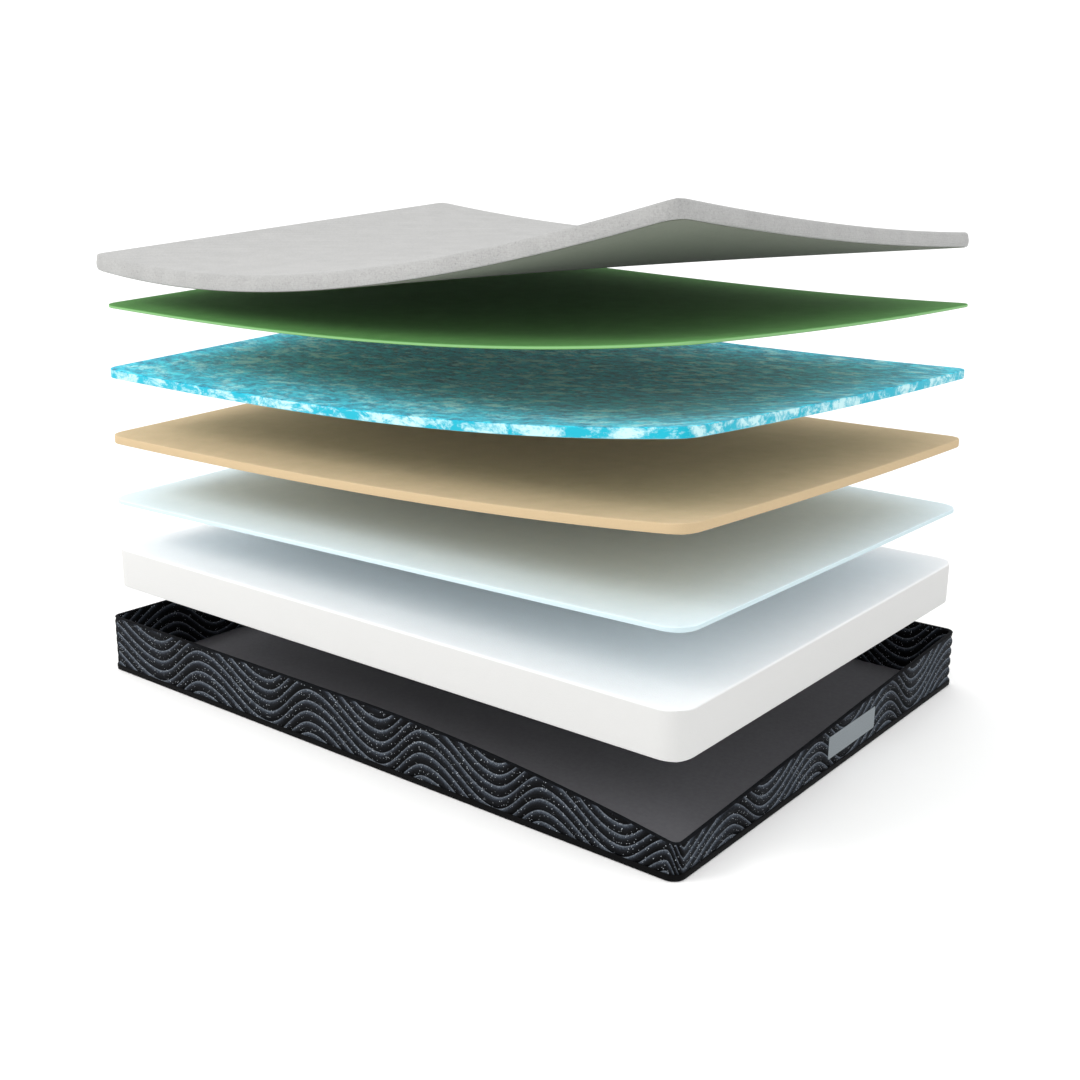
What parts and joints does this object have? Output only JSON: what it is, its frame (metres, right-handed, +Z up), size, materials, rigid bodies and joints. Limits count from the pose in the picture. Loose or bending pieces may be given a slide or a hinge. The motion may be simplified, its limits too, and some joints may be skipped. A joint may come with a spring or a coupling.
{
  "type": "mattress",
  "caption": "Memory foam mattress lifted apart into a quilted black border tray, stacked foam layers and a padded light grey top cover.",
  "frame": {"origin": "middle of the tray's underside, on the surface that the mattress stands on", "axes": "+X from the head to the foot along the length, +Y from the front side to the back side across the width, +Z up through the layers"},
  "size_m": [2.0416, 1.5336, 1.4417],
  "materials": {
    "bottom_cloth": "dark grey brushed non-slip polyester cloth",
    "border_knit": "black stretch knit with small white flecks, quilted in wavy channels",
    "border_quilt_foam": "soft off-white quilting foam",
    "border_lining": "thin black lining cloth",
    "border_tape": "black woven edge binding",
    "piping": "smooth black covered piping",
    "label": "plain grey woven label, no print",
    "base_foam": "white high-density support foam, fine open cells",
    "transition_foam": "pale blue-grey transition foam, fine open cells",
    "comfort_foam": "tan comfort foam, fine open cells",
    "gel_foam": "cyan and white gel-swirl memory foam",
    "green_foam": "green infused memory foam, fine open cells",
    "cover_knit": "light grey heathered knit over padding",
    "cover_fill": "white quilting fibre and foam",
    "cover_backing": "grey non-woven backing cloth"
  },
  "bodies": {
    "tray": {"bottom_cloth": "bottom_cloth", "border_face_knit": "border_knit", "border_quilt_foam_front": "border_quilt_foam", "border_quilt_foam_foot": "border_quilt_foam", "border_quilt_foam_back": "border_quilt_foam", "border_quilt_foam_head": "border_quilt_foam", "border_lining": "border_lining", "border_top_tape": "border_tape", "bottom_piping": "piping", "woven_label": "label"},
    "base_layer": {"base_support_foam": "base_foam"},
    "transition_layer": {"transition_foam": "transition_foam"},
    "comfort_layer": {"comfort_foam": "comfort_foam"},
    "gel_layer": {"gel_memory_foam": "gel_foam"},
    "green_layer": {"green_memory_foam": "green_foam"},
    "top_cover": {"cover_knit": "cover_knit", "cover_quilt_fill": "cover_fill", "cover_backing": "cover_backing"}
  },
  "joints": [
    {"name": "base_lift", "type": "slide", "parent": "tray", "child": "base_layer", "axis": [0, 0, 1], "range_m": [-0.262, 0]},
    {"name": "transition_lift", "type": "slide", "parent": "base_layer", "child": "transition_layer", "axis": [0, 0, 1], "range_m": [-0.135, 0]},
    {"name": "comfort_lift", "type": "slide", "parent": "transition_layer", "child": "comfort_layer", "axis": [0, 0, 1], "range_m": [-0.157, 0]},
    {"name": "gel_lift", "type": "slide", "parent": "comfort_layer", "child": "gel_layer", "axis": [0, 0, 1], "range_m": [-0.155, 0]},
    {"name": "green_lift", "type": "slide", "parent": "gel_layer", "child": "green_layer", "axis": [0, 0, 1], "range_m": [-0.161, 0]},
    {"name": "cover_lift", "type": "slide", "parent": "green_layer", "child": "top_cover", "axis": [0, 0, 1], "range_m": [-0.081, 0]}
  ]
}
